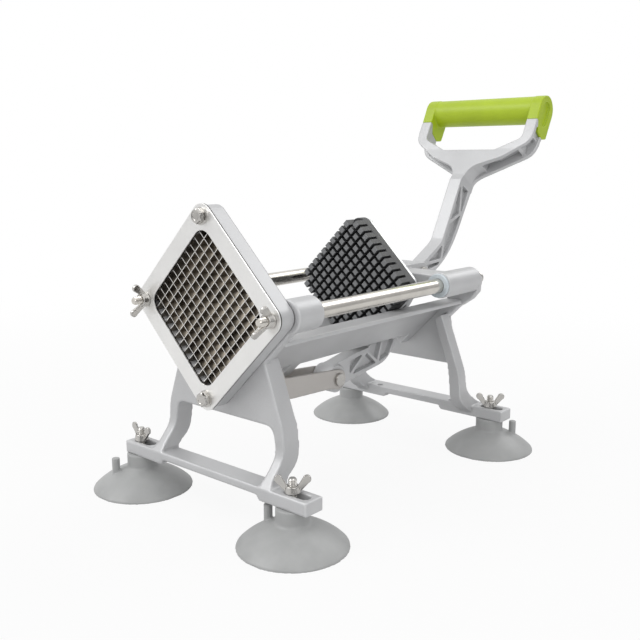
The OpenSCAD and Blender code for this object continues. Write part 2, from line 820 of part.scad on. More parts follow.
module grip() {
    recess = [25, 13];
    recess_d = 2.2;
    recess_y = grip_at[1] - 5;
    color([0.62, 0.75, 0.16]) handle_frame() difference() {
        union() {
            translate([-yoke_half, grip_at[1], grip_at[0]]) rotate([0, 90, 0])
                cylinder(d = grip_d, h = 2 * yoke_half);
            branch_sides() cheek_side();
        }
        tangs(fit);
        both_sides() translate([yoke_half - recess_d, recess_y, grip_at[0]]) rotate([90, 0, 90])
            linear_extrude(recess_d + 1) obround(recess[0], recess[1]);
    }
}

// ---------- Drag link ----------

module link_pin() {
    head = 2.2;
    at = pivot + link_rel;
    color(steel) {
        bar_x(link_pin_d, -plate_out - 1, plate_out + 1, at);
        bar_x(link_pin_d + 3, plate_out + fit, plate_out + fit + head, at);
        bar_x(link_pin_d + 3, -plate_out - fit - head, -plate_out - fit, at);
    }
}

module link_side() {
    pin = pivot + link_rel;
    ear_r = ear_hole_r + ear_wall;
    hole = anchor + ear_hole;
    tail_r = 8.6;
    translate(pin) circle(tail_r);
    translate(hole) circle(ear_r);
    polygon([pin + [0, tail_r], pin + [-8, tail_r + 1], hole + [16, 1.4], hole + ear_r * [cos(48), sin(48)],
        hole, hole + ear_r * [cos(66), -sin(66)], hole + [23, -16.8], pin + [-13, -5.9], pin + [-4, -7.6]]);
}

module drag_link() {
    pin = pivot + link_rel;
    hole = anchor + ear_hole;
    color([0.70, 0.68, 0.66]) difference() {
        union() {
            both_sides() along_x(plate_in, plate_out) link_side();
            along_x(-plate_in - 0.5, plate_in + 0.5)
                polygon([hole + [23, -16.8], pin + [-19, -5.8], pin + [-19, -3.8], hole + [23, -14.8]]);
        }
        bar_x(link_pin_d + 2 * run_gap, -plate_out - 1, plate_out + 1, pin);
        bar_x(2 * ear_hole_r, -plate_out - 1, plate_out + 1, hole);
    }
}

module anchor_pin() {
    out = lug_in + lug_t;
    color(steel) {
        bar_x(anchor_d, -out - 1, out + 1, anchor);
        bar_x(anchor_d + 4, out, out + 2, anchor);
        bar_x(anchor_d + 4, -out - 2, -out, anchor);
    }
}

front_frame();
rear_frame();
trough();
guide_rod(-1);  // guide_rod_left
guide_rod(1);  // guide_rod_right
rod_screw(-1);  // rod_screw_left
rod_screw(1);  // rod_screw_right
blade_holder();
blades();
cover_plate();
cover_bolt(1);  // cover_bolt_top
cover_bolt(-1);  // cover_bolt_bottom
cover_nut(-1);  // cover_nut_left
cover_nut(1);  // cover_nut_right
suction_cup(foot_x[0][0], foot_y[0], tab_turn[0][0]);  // cup_front_left
suction_cup(foot_x[0][1], foot_y[0], tab_turn[0][1]);  // cup_front_right
suction_cup(foot_x[1][0], foot_y[1], tab_turn[1][0]);  // cup_rear_left
suction_cup(foot_x[1][1], foot_y[1], tab_turn[1][1]);  // cup_rear_right
foot_stud(foot_x[0][0], foot_y[0]);  // foot_stud_front_left
foot_stud(foot_x[0][1], foot_y[0]);  // foot_stud_front_right
foot_stud(foot_x[1][0], foot_y[1]);  // foot_stud_rear_left
foot_stud(foot_x[1][1], foot_y[1]);  // foot_stud_rear_right
foot_nut(foot_x[0][0], foot_y[0], foot_turn[0][0]);  // foot_nut_front_left
foot_nut(foot_x[0][1], foot_y[0], foot_turn[0][1]);  // foot_nut_front_right
foot_nut(foot_x[1][0], foot_y[1], foot_turn[1][0]);  // foot_nut_rear_left
foot_nut(foot_x[1][1], foot_y[1], foot_turn[1][1]);  // foot_nut_rear_right
anchor_pin();
carriage();
bushing(-1);  // bushing_left
bushing(1);  // bushing_right
backing_plate();
pusher_block();
pusher_screws();
pivot_pin();
lever();
grip();
link_pin();
drag_link();
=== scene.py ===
"""Looks of a lever-operated french fry cutter: its finishes, rounded castings and fine detail.

Everything is in metres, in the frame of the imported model. Places and sizes come from the
boxes of the model's nodes, and the few sizes that no box holds are named fields of the class
that uses them.
"""

import json
import logging
import math
from dataclasses import dataclass, field, replace
from enum import Enum
from typing import Callable, Iterable, Sequence

import bmesh
import bpy
from mathutils import Matrix, Vector


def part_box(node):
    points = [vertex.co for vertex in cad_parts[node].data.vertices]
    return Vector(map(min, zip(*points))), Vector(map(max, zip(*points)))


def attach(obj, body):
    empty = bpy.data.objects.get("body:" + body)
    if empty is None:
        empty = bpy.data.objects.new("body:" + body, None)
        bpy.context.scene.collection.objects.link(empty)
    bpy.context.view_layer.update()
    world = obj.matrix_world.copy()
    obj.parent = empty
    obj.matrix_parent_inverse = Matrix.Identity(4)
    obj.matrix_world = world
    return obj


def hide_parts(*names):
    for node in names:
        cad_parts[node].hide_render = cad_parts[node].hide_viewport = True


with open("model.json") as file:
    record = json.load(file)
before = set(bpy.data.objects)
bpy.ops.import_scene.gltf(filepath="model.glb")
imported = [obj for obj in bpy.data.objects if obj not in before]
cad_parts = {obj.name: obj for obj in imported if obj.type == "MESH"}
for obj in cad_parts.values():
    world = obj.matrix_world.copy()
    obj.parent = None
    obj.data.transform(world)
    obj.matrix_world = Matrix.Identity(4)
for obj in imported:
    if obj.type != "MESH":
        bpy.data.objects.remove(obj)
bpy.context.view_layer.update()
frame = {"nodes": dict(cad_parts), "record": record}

LOG = logging.getLogger("cutter")
Colour = tuple[float, float, float]
Triple = tuple[float, float, float]
Point2 = tuple[float, float]
Socket = bpy.types.NodeSocket

MM = 0.001
# Distance under which two points are one
TOUCHING = 1e-6
# Share of a centred row's length past which a point is one of its last
ROW_END = 0.49
# Turns between two faces: the most for a flat one, the least for a sharp edge and for a bevel
FLAT_TURN = math.radians(1.0)
SHARP_TURN = math.radians(35.0)
BEVEL_TURN = math.radians(40.0)
WHITE = (1.0, 1.0, 1.0)
# A place along Y beyond the whole object
NOWHERE = 1.0
# Name of the blades' attribute that is 1 on their ground edges
GROUND_EDGE = "ground_edge"


# ---------- Node trees ----------


class Expr:
    """A socket or a number of a node tree. Operators on it add Math nodes."""

    def __init__(self, tree: "Tree", value: "Socket | float") -> None:
        """Keeps the value, and the tree that new nodes go into."""
        self.tree = tree
        self.value = value

    def apply(self, operation: str, *others: "Expr | float", clamp: bool = False) -> "Expr":
        """Returns the result of a Math node, given Blender's name of its operation."""
        node = self.tree.node("ShaderNodeMath", {"operation": operation, "use_clamp": clamp},
                              dict(enumerate((self, *others))))
        return Expr(self.tree, node.outputs[0])

    def __add__(self, other: "Expr | float") -> "Expr":
        """Returns the sum."""
        return self.apply("ADD", other)

    __radd__ = __add__

    def __mul__(self, other: "Expr | float") -> "Expr":
        """Returns the product."""
        return self.apply("MULTIPLY", other)

    __rmul__ = __mul__

    def __sub__(self, other: "Expr | float") -> "Expr":
        """Returns the difference."""
        return self.apply("SUBTRACT", other)

    def __rsub__(self, other: float) -> "Expr":
        """Returns the difference from a number."""
        return Expr(self.tree, other).apply("SUBTRACT", self)

    def __truediv__(self, other: "Expr | float") -> "Expr":
        """Returns the quotient."""
        return self.apply("DIVIDE", other)

    def __abs__(self) -> "Expr":
        """Returns the value without its sign."""
        return self.apply("ABSOLUTE")

    def __gt__(self, other: "Expr | float") -> "Expr":
        """Returns 1 where this value is the greater one, and 0 elsewhere."""
        return self.apply("GREATER_THAN", other)

    def __lt__(self, other: "Expr | float") -> "Expr":
        """Returns 1 where this value is the smaller one, and 0 elsewhere."""
        return self.apply("LESS_THAN", other)

    def above(self, low: float, high: float) -> "Expr":
        """Returns a smooth step, from 0 at the low value to 1 at the high one."""
        node = self.tree.node("ShaderNodeMapRange", {"interpolation_type": "SMOOTHSTEP"},
                              {"Value": self, "From Min": low, "From Max": high})
        return Expr(self.tree, node.outputs["Result"])

    def at_most_one(self) -> "Expr":
        """Returns this value, kept from 0 to 1."""
        return self.apply("ADD", 0.0, clamp=True)


class Tree:
    """A node tree that is built node by node."""

    def __init__(self, tree: bpy.types.NodeTree) -> None:
        """Empties the tree and keeps it."""
        self.tree = tree
        tree.nodes.clear()

    def node(self, kind: str, settings: dict | None = None, inputs: dict | None = None
             ) -> bpy.types.Node:
        """Adds a node.

        Args:
            kind: The node's type.
            settings: Its settings, set before its sockets.
            inputs: Values or links of its input sockets, by name or number.

        Returns:
            The new node.
        """
        made = self.tree.nodes.new(kind)
        for name, value in (settings or {}).items():
            setattr(made, name, value)
        for key, value in (inputs or {}).items():
            self.feed(made.inputs[key], value)
        return made

    def feed(self, socket: Socket, value: "Expr | Socket | float | Sequence[float]") -> None:
        """Links a socket or sets its value.

        Args:
            socket: The input socket.
            value: An expression, a socket, a number, a vector or a colour.
        """
        if isinstance(value, Expr):
            value = value.value
        if isinstance(value, Socket):
            self.tree.links.new(value, socket)
        elif socket.type == "RGBA" and len(value) == 3:
            socket.default_value = (*value, 1.0)
        else:
            socket.default_value = value

    def parts(self, vector: Socket) -> list[Expr]:
        """Returns the three parts of a vector."""
        split = self.node("ShaderNodeSeparateXYZ", {}, {0: vector})
        return [Expr(self, part) for part in split.outputs]


class Graph(Tree):
    """The node tree of one material or of the world.

    Pointiness is a half where a surface is flat. Both pairs of steps say where it counts.
    """

    WORN_STEPS: Point2 = (0.51, 0.56)
    HOLLOW_STEPS: Point2 = (0.46, 0.495)

    def place(self, stretch: Triple = (1.0, 1.0, 1.0), turn: Triple = (0.0, 0.0, 0.0)) -> Socket:
        """Returns Object coordinates, turned by angles in degrees and stretched by factors."""
        coords = self.node("ShaderNodeTexCoord").outputs["Object"]
        return self.node("ShaderNodeMapping", {}, {
            "Vector": coords, "Rotation": [math.radians(angle) for angle in turn],
            "Scale": stretch}).outputs["Vector"]

    def noise(self, scale: float, detail: float, stretch: Triple, turn: Triple) -> Expr:
        """Returns a noise from 0 to 1 on turned and stretched Object coordinates."""
        made = self.node("ShaderNodeTexNoise", {}, {
            "Vector": self.place(stretch, turn), "Scale": scale, "Detail": detail})
        return Expr(self, made.outputs["Fac"])

    def mix(self, factor: Expr, low: "Colour | Socket", high: "Colour | Socket") -> Socket:
        """Returns the first colour where the factor is 0, and the second where it is 1."""
        return self.node("ShaderNodeMix", {"data_type": "RGBA"},
                         {0: factor, 6: low, 7: high}).outputs[2]

    def worn_edges(self) -> Expr:
        """Returns 1 on sharp outer edges and 0 elsewhere."""
        return self._pointed().above(*self.WORN_STEPS)

    def shaded_hollows(self) -> Expr:
        """Returns 1 in inner corners, where the castings get painted shade, and 0 elsewhere."""
        return 1.0 - self._pointed().above(*self.HOLLOW_STEPS)

    def _pointed(self) -> Expr:
        """Returns how far the surface bulges, which is the most on outer edges."""
        return Expr(self, self.node("ShaderNodeNewGeometry").outputs["Pointiness"])

    def seen(self) -> Expr:
        """Returns 1 for what the camera shows directly."""
        return Expr(self, self.node("ShaderNodeLightPath").outputs["Is Camera Ray"])


def new_material(name: str) -> tuple[bpy.types.Material, Graph]:
    """Makes an empty material.

    Args:
        name: Its name.

    Returns:
        The material and its graph.
    """
    material = bpy.data.materials.new(name)
    material.use_nodes = True
    return material, Graph(material.node_tree)


# ---------- Finishes ----------


def shade(colour: Colour, factor: float) -> Colour:
    """Returns a linear colour made lighter or darker by a factor, no lighter than white."""
    return tuple(min(1.0, part * factor) for part in colour)


class Slot(Enum):
    """The material slots of the record."""

    CAST = "cast_aluminium"
    COVER = "stainless_sheet"
    SHEET = "aluminium_sheet"
    BLADE = "blade_steel"
    ROD = "polished_steel"
    PLATED = "plated_steel"
    LINK = "link_steel"
    RUBBER = "grey_rubber"
    BLACK = "black_plastic"
    GREEN = "green_plastic"
    BUSHING = "bushing_plastic"


@dataclass(frozen=True)
class Noise:
    """One noise of a finish, and its share in the tone, the roughness and the skin's height.

    Its scale is in grains to the metre. Its detail is a number of finer layers.
    """

    scale: float
    detail: float
    tone: float = 0.0
    gloss: float = 0.0
    skin: float = 0.0
    stretch: Triple = (1.0, 1.0, 1.0)
    turn: Triple = (0.0, 0.0, 0.0)


@dataclass(frozen=True)
class Finish:
    """What every finish has: a colour, a gloss, a skin and a way to build its material.

    The colour runs between its two shades as the tone passes between its two steps. The
    roughness is shifted, because its noises add to it. The skin's depth is in metres.
    """

    slot: Slot
    colour: Colour
    roughness: float
    metallic: float = 0.0
    coat: float = 0.0
    coat_roughness: float = 0.25
    shift: float = 0.0
    noises: tuple[Noise, ...] = ()
    steps: Point2 = (0.25, 0.75)
    shades: Point2 = (0.9, 1.1)
    skin_depth: float = 0.01 * MM
    skin_strength: float = 0.3

    def _over(self, graph: Graph, body: Socket, noises: Sequence[Expr]) -> Socket:
        """Returns the colour with what lies over it, which is nothing on a plain finish."""
        return body

    def build(self) -> bpy.types.Material:
        """Builds the material.

        Returns:
            The finished material.
        """
        material, graph = new_material(self.slot.value)
        made = [graph.noise(n.scale, n.detail, n.stretch, n.turn) for n in self.noises]
        tone, gloss, height = 0.0, self.roughness + self.shift, 0.0
        for noise, value in zip(self.noises, made):
            if noise.tone:
                tone = tone + value * noise.tone
            if noise.gloss:
                gloss = gloss + value * noise.gloss
            if noise.skin:
                height = height + value * noise.skin
        dark, light = (shade(self.colour, factor) for factor in self.shades)
        body = graph.mix(tone.above(*self.steps), dark, light)
        skin = graph.node("ShaderNodeBump", {}, {
            "Height": height, "Distance": self.skin_depth, "Strength": self.skin_strength})
        shader = graph.node("ShaderNodeBsdfPrincipled", {}, {
            "Base Color": self._over(graph, body, made), "Roughness": gloss,
            "Metallic": self.metallic, "Coat Weight": self.coat,
            "Coat Roughness": self.coat_roughness, "Normal": skin.outputs["Normal"]})
        graph.node("ShaderNodeOutputMaterial", {}, {"Surface": shader.outputs["BSDF"]})
        return material


@dataclass(frozen=True)
class CastPaint(Finish):
    """Satin silver paint over a casting: orange peel, soft clouds, worn edges and painted shade in
    inner corners.

    A painted shadow line runs where the blade holder stands on the frame.
    Each of its two sides fades between two distances in front of the holder's rear face.
    """

    shift: float = -0.06
    noises: tuple[Noise, ...] = (
        Noise(22.0, 3.0, tone=0.6, gloss=0.12), Noise(2600.0, 1.0, tone=0.4, skin=0.3),
        Noise(420.0, 2.0, skin=0.7))
    shades: Point2 = (0.90, 1.07)
    skin_depth: float = 0.05 * MM
    skin_strength: float = 0.5
    worn_shade: float = 1.25
    # Painted shade: how dark the inner corners are made
    painted_hollow_shade: float = 0.4
    # Painted shadow line at the holder's joint: its darkness, place, sides, lowest height and fade
    joint_shadow_shade: float = 0.12
    joint_shadow_y: float = 15.5 * MM
    joint_shadow_front: Point2 = (0.9 * MM, 0.7 * MM)
    joint_shadow_back: Point2 = (0.3 * MM, 0.2 * MM)
    joint_shadow_low: float = 100.0 * MM
    joint_shadow_fade: float = 1.0 * MM

    def _over(self, graph: Graph, body: Socket, noises: Sequence[Expr]) -> Socket:
        """Lays worn edges, painted corner shade and the painted joint shadow over the paint.

        Args:
            graph: The material's graph.
            body: The paint's colour.
            noises: Its noises, the clouds first.

        Returns:
            The colour.
        """
        clouds = noises[0]
        _, along, up = graph.parts(graph.place())
        # Painted shadow in the gap where the blade holder stands on the frame
        joint_shadow = (along.above(*(self.joint_shadow_y - ahead for ahead in self.joint_shadow_front))
                * (1.0 - along.above(*(self.joint_shadow_y - ahead for ahead in self.joint_shadow_back)))
                * up.above(self.joint_shadow_low, self.joint_shadow_low + self.joint_shadow_fade))
        # Worn edges get lighter; inner corners get painted shade and the joint a painted shadow.
        for mask, factor in ((graph.worn_edges() * (0.25 + clouds * 0.5), self.worn_shade),
                             (graph.shaded_hollows() * (0.35 + clouds * 0.6), self.painted_hollow_shade),
                             (joint_shadow, self.joint_shadow_shade)):
            body = graph.mix(mask, body, shade(self.colour, factor))
        return body


@dataclass(frozen=True)
class Brushed(Finish):
    """Sheet metal with a fine brushed grain, and a painted shadow where it meets what is behind
    it.
    """

    shift: float = -0.05
    steps: Point2 = (0.2, 0.8)
    shades: Point2 = (0.95, 1.03)
    shadow_y: float = NOWHERE
    shadow_fade: float = 0.1 * MM
    shadow_shade: float = 0.07

    def _over(self, graph: Graph, body: Socket, noises: Sequence[Expr]) -> Socket:
        """Returns the metal's colour, with a painted shadow behind its front face."""
        behind = graph.parts(graph.place())[1].above(self.shadow_y,
                                                     self.shadow_y + self.shadow_fade)
        return graph.mix(behind, body, shade(self.colour, self.shadow_shade))


def brushed_grain(stretch: Triple, turn: Triple = (0.0, 0.0, 0.0)) -> tuple[Noise, ...]:
    """Returns the noises of sheet metal: the grain, stretched one way, and the smudges."""
    return (Noise(2400.0, 3.0, tone=0.4, gloss=0.08, skin=1.0, stretch=stretch, turn=turn),
            Noise(35.0, 3.0, tone=0.6, gloss=0.06))


@dataclass(frozen=True)
class Bright(Finish):
    """Polished or plated steel: glossy, with faint smears and fine turning marks."""

    shift: float = -0.03
    noises: tuple[Noise, ...] = (
        Noise(60.0, 3.0, tone=1.0, gloss=0.08),
        Noise(1500.0, 1.0, skin=1.0, stretch=(0.15, 1.0, 0.15)))
    steps: Point2 = (0.3, 0.7)
    shades: Point2 = (0.94, 1.04)
    skin_strength: float = 0.25


@dataclass(frozen=True)
class Rubber(Finish):
    """Matt rubber: dusty, with a fine mottled skin."""

    shift: float = -0.06
    noises: tuple[Noise, ...] = (
        Noise(90.0, 4.0, tone=1.0, gloss=0.14, skin=0.4), Noise(900.0, 2.0, skin=0.6))
    steps: Point2 = (0.3, 0.72)
    shades: Point2 = (0.96, 1.04)
    skin_depth: float = 0.06 * MM
    skin_strength: float = 0.5


@dataclass(frozen=True)
class Moulded(Finish):
    """Moulded plastic with flow marks, a fine spark-eroded grain and lighter edges."""

    shift: float = -0.05
    noises: tuple[Noise, ...] = (
        Noise(28.0, 2.0, tone=0.7, gloss=0.05),
        Noise(1300.0, 2.0, tone=0.3, gloss=0.06, skin=1.0))
    skin_depth: float = 0.04 * MM
    skin_strength: float = 0.4
    edge_share: float = 0.3
    edge_shade: float = 1.6

    def _over(self, graph: Graph, body: Socket, noises: Sequence[Expr]) -> Socket:
        """Returns the plastic's colour with its edges lightened."""
        return graph.mix(graph.worn_edges() * self.edge_share, body,
                         shade(self.colour, self.edge_shade))


@dataclass(frozen=True)
class PinnedBlock(Finish):
    """The pusher's moulding, with a painted highlight that makes the pin tips pale.

    The painted highlight fades between two distances behind the tips.
    """

    shift: float = -0.05
    noises: tuple[Noise, ...] = (
        Noise(1300.0, 2.0, tone=0.4, gloss=0.06, skin=1.0),
        Noise(140.0, 3.0, tone=0.6, gloss=0.05))
    shades: Point2 = (0.85, 1.15)
    skin_depth: float = 0.04 * MM
    skin_strength: float = 0.4
    # Colour of the painted highlight on the pin tips, their place along Y and its fade
    tip: Colour = (0.20, 0.205, 0.21)
    tip_y: float = 0.165
    tip_fade: Point2 = (0.15 * MM, 0.5 * MM)

    def _over(self, graph: Graph, body: Socket, noises: Sequence[Expr]) -> Socket:
        """Paints a highlight on the tips.

        Args:
            graph: The material's graph.
            body: The moulding's colour.
            noises: Its noises, the blotches last.

        Returns:
            The colour.
        """
        along = graph.parts(graph.place())[1]
        # Painted highlight on the pin tips, varied by the blotches
        at_tip = 1.0 - along.above(*(self.tip_y + behind for behind in self.tip_fade))
        return graph.mix((at_tip * (0.75 + noises[-1] * 0.5)).at_most_one(), body, self.tip)


@dataclass(frozen=True)
class BladeSteel(Finish):
    """Strip steel: stained sides and bright ground edges."""

    noises: tuple[Noise, ...] = (
        Noise(900.0, 2.0, gloss=0.08, skin=1.0, stretch=(1.0, 0.1, 1.0)),
        Noise(70.0, 4.0, tone=1.0, gloss=0.10))
    steps: Point2 = (0.3, 0.7)
    shades: Point2 = (0.55, 1.35)
    skin_depth: float = 0.02 * MM
    ground: Colour = (0.95, 0.93, 0.90)

    def _over(self, graph: Graph, body: Socket, noises: Sequence[Expr]) -> Socket:
        """Returns the sides' colour, and the bright one on the ground edges."""
        edge = graph.node("ShaderNodeAttribute", {"attribute_name": GROUND_EDGE}).outputs["Fac"]
        return graph.mix(Expr(graph, edge), body, self.ground)


FINISHES: tuple[Finish, ...] = (
    CastPaint(Slot.CAST, (0.565, 0.568, 0.575), 0.40, 0.3),
    Brushed(Slot.COVER, (0.95, 0.945, 0.93), 0.38, 1.0, shadow_y=0.9 * MM,
            noises=brushed_grain((1.0, 1.0, 0.03), (0.0, 45.0, 0.0))),
    Brushed(Slot.SHEET, (0.78, 0.79, 0.80), 0.34, 1.0, noises=brushed_grain((0.05, 1.0, 1.0))),
    BladeSteel(Slot.BLADE, (0.25, 0.22, 0.18), 0.30, 1.0),
    Bright(Slot.ROD, (0.72, 0.69, 0.64), 0.20, 1.0),
    Bright(Slot.PLATED, (0.60, 0.585, 0.56), 0.22, 1.0),
    Brushed(Slot.LINK, (0.60, 0.575, 0.55), 0.38, 0.9, noises=brushed_grain((1.0, 0.04, 1.0))),
    Rubber(Slot.RUBBER, (0.375, 0.38, 0.378), 0.40),
    PinnedBlock(Slot.BLACK, (0.055, 0.056, 0.058), 0.46),
    Moulded(Slot.GREEN, (0.39, 0.52, 0.012), 0.40, coat=0.05, skin_depth=0.02 * MM,
            edge_share=0.12,
            noises=(Moulded.noises[0], replace(Moulded.noises[1], scale=900.0))),
    Moulded(Slot.BUSHING, (0.50, 0.55, 0.58), 0.42),
)


class Wardrobe:
    """The built materials, one for each slot."""

    def __init__(self, finishes: Iterable[Finish]) -> None:
        """Builds each finish once."""
        self._by_slot = {finish.slot: finish.build() for finish in finishes}

    def of(self, slot: Slot) -> bpy.types.Material:
        """Returns the material of a slot."""
        return self._by_slot[slot]

    def dress_nodes(self) -> None:
        """Gives every node of the model the material of its own slot."""
        slots = {part["node"]: part["material_slot"] for part in frame["record"]["subparts"]}
        for name, node in frame["nodes"].items():
            node.data.materials.clear()
            node.data.materials.append(self.of(Slot(slots[name])))


# ---------- Meshes ----------


def in_scene(name: str, data: bpy.types.ID) -> bpy.types.Object:
    """Puts a new object into the scene.

    Args:
        name: Its name.
        data: Its mesh, lamp or camera.

    Returns:
        The object.
    """
    made = bpy.data.objects.new(name, data)
    bpy.context.scene.collection.objects.link(made)
    return made


def baked(mesh: bpy.types.Mesh, add: Callable[[bpy.types.Object], None]) -> bpy.types.Mesh:
    """Runs modifiers on a mesh.

    Args:
        mesh: The mesh to start from.
        add: Adds the modifiers to an object that holds it.

    Returns:
        The new mesh, with no modifiers left.
    """
    holder = in_scene("holder", mesh)
    add(holder)
    graph = bpy.context.evaluated_depsgraph_get()
    result = bpy.data.meshes.new_from_object(holder.evaluated_get(graph))
    bpy.data.objects.remove(holder)
    return result


def finish_mesh(maker: bmesh.types.BMesh, name: str, smooth: bool = False,
                fix_normals: bool = True) -> bpy.types.Mesh:
    """Turns a bmesh into a mesh.

    Args:
        maker: The bmesh, which is freed.
        name: The mesh's name.
        smooth: Whether its faces are shaded smooth.
        fix_normals: Whether the faces are turned outwards.

    Returns:
        The mesh.
    """
    if fix_normals:
        bmesh.ops.recalc_face_normals(maker, faces=maker.faces)
    mesh = bpy.data.meshes.new(name)
    maker.to_mesh(mesh)
    maker.free()
    if smooth:
        mesh.shade_smooth()
    return mesh


def square(name: str, half: float) -> bpy.types.Mesh:
    """A level square round the origin.

    Args:
        name: Its name.
        half: Half its side.

    Returns:
        The mesh.
    """
    maker = bmesh.new()
    bmesh.ops.create_grid(maker, x_segments=1, y_segments=1, size=half)
    return finish_mesh(maker, name)


@dataclass(frozen=True)
class Rounding:
    """How a node is remade with rounded edges: its cells, smoothing passes and faces kept."""

    cell: float
    passes: int
    keep: float
    factor: float = 0.5


class Bench:
    """Makes meshes into pieces and hands each one to the body that carries it."""

    def __init__(self, wardrobe: Wardrobe) -> None:
        """Keeps the materials."""
        self.wardrobe = wardrobe

    def piece(self, name: str, mesh: bpy.types.Mesh, slot: Slot, body: str,
              nodes: Sequence[str]) -> None:
        """Makes a finished piece.

        Args:
            name: The piece's name.
            mesh: Its mesh, in place.
            slot: Its material slot.
            body: The body that it rides on.
            nodes: The nodes that it stands for.
        """
        mesh.materials.clear()
        mesh.materials.append(self.wardrobe.of(slot))
        made = in_scene(name, mesh)
        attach(made, body)
        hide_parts(*nodes)
        LOG.info("%s: %d faces on %s", name, len(mesh.polygons), body)

    def _merged_copy(self, node: str) -> bpy.types.Mesh:
        """Copies a node's mesh, with its loose triangles joined.

        Args:
            node: The node's name.

        Returns:
            The copy.
        """
        maker = bmesh.new()
        maker.from_mesh(frame["nodes"][node].data)
        bmesh.ops.remove_doubles(maker, verts=maker.verts, dist=TOUCHING)
        return finish_mesh(maker, node + "_copy", fix_normals=False)

    def softened(self, node: str, rounding: Rounding) -> bpy.types.Mesh:
        """A node's shape with every edge and inner corner rounded, as a casting's are.

        Args:
            node: The node's name.
            rounding: How it is remade.

        Returns:
            The mesh.
        """
        def add(holder: bpy.types.Object) -> None:
            """Adds the modifiers.

            Args:
                holder: The object that holds the mesh.
            """
            remesh = holder.modifiers.new("cells", "REMESH")
            remesh.mode = "VOXEL"
            remesh.voxel_size = rounding.cell
            remesh.use_smooth_shade = True
            smooth = holder.modifiers.new("rounds", "SMOOTH")
            smooth.factor = rounding.factor
            smooth.iterations = rounding.passes
            thin = holder.modifiers.new("thin", "DECIMATE")
            thin.ratio = rounding.keep

        mesh = baked(self._merged_copy(node), add)
        mesh.shade_smooth()
        return mesh

    def bevelled(self, node: str, width: float, segments: int) -> bpy.types.Mesh:
        """A node's shape with its sharp edges bevelled.

        Args:
            node: The node's name.
            width: Width of the bevels.
            segments: Their number of segments.

        Returns:
            The mesh.
        """
        maker = bmesh.new()
        maker.from_mesh(self._merged_copy(node))
        bmesh.ops.dissolve_limit(maker, angle_limit=FLAT_TURN, verts=maker.verts,
                                 edges=maker.edges)
        plain = finish_mesh(maker, node + "_plain", fix_normals=False)

        def add(holder: bpy.types.Object) -> None:
            """Adds the bevel.

            Args:
                holder: The object that holds the mesh.
            """
            bevel = holder.modifiers.new("bevel", "BEVEL")
            bevel.width = width
            bevel.segments = segments
            bevel.limit_method = "ANGLE"
            bevel.angle_limit = BEVEL_TURN
            bevel.harden_normals = True

        return baked(plain, add)


class Axis(Enum):
    """The direction of a turned piece."""

    TOWARDS_BACK = Matrix.Rotation(math.radians(-90.0), 4, "X")
    TOWARDS_FRONT = Matrix.Rotation(math.radians(90.0), 4, "X")
    UP = Matrix.Identity(4)


def turned(profile: Sequence[Point2], axis: Axis, at: Vector, steps: int,
           flat_r: float = math.inf) -> bpy.types.Mesh:
    """A turned piece: an outline swept round its axis.

    Args:
        profile: Points of (radius, height), from its start to its end.
        axis: Its direction.
        at: Its place.
        steps: Number of steps round the axis.
        flat_r: Inner radius of the hexagon that all beyond the widest ring is cut to, if any.

    Returns:
        The mesh.
    """
    widest = max(radius for radius, _ in profile) * 0.999
    head_from = max(height for radius, height in profile if radius > widest) + TOUCHING
    maker = bmesh.new()
    rings = []
    for radius, height in profile:
        if radius < TOUCHING:
            rings.append([maker.verts.new((0.0, 0.0, height))])
            continue
        limit = math.inf if height < head_from else flat_r
        ring = []
        for angle in (math.tau * i / steps for i in range(steps)):
            from_flat = (angle + math.pi / 6) % (math.pi / 3) - math.pi / 6
            reach = min(radius, limit / math.cos(from_flat))
            ring.append(maker.verts.new((reach * math.cos(angle), reach * math.sin(angle),
                                         height)))
        rings.append(ring)
    for low, high in zip(rings, rings[1:]):
        for i in range(steps):
            j = (i + 1) % steps
            corners = [low[i % len(low)], low[j % len(low)], high[j % len(high)],
                       high[i % len(high)]]
            unique = list(dict.fromkeys(corners))
            if len(unique) > 2:
                maker.faces.new(unique)
    bmesh.ops.transform(maker, matrix=Matrix.Translation(at) @ axis.value, verts=maker.verts)
    mesh = finish_mesh(maker, "turned", smooth=True)
    mesh.set_sharp_from_angle(angle=SHARP_TURN)
    return mesh


def rounded_outline(profile: Sequence[Point2], radius: float, steps: int = 3) -> list[Point2]:
    """Rounds the corners of an open outline.

    Args:
        profile: Its points.
        radius: How far from a corner the rounding starts, where there is room.
        steps: Points in each rounding, less one.

    Returns:
        The new points.
    """
    room = 0.45
    result = [profile[0]]
    for before, corner, after in zip(profile, profile[1:], profile[2:]):
        a, b, c = Vector(before), Vector(corner), Vector(after)
        reach = min(radius, room * (a - b).length, room * (c - b).length)
        start = b + (a - b).normalized() * reach
        end = b + (c - b).normalized() * reach
        for i in range(steps + 1):
            t = i / steps
            result.append(tuple((1 - t) ** 2 * start + 2 * t * (1 - t) * b + t ** 2 * end))
    result.append(profile[-1])
    return result


def threaded(radius: float, start: float, end: float, pitch: float = 1.0 * MM,
             depth: float = 0.45 * MM) -> list[Point2]:
    """Outline of a screw thread.

    Args:
        radius: Radius over the thread.
        start: Where it starts along the axis.
        end: Where it ends.
        pitch: Distance from one turn to the next.
        depth: Depth of the thread.

    Returns:
        Points of (radius, height).
    """
    turns = max(1, round((end - start) / pitch))
    step = (end - start) / turns
    points = []
    for i in range(turns):
        low = start + i * step
        points += [(radius - depth, low), (radius, low + 0.4 * step), (radius, low + 0.6 * step)]
    return points + [(radius - depth, end)]


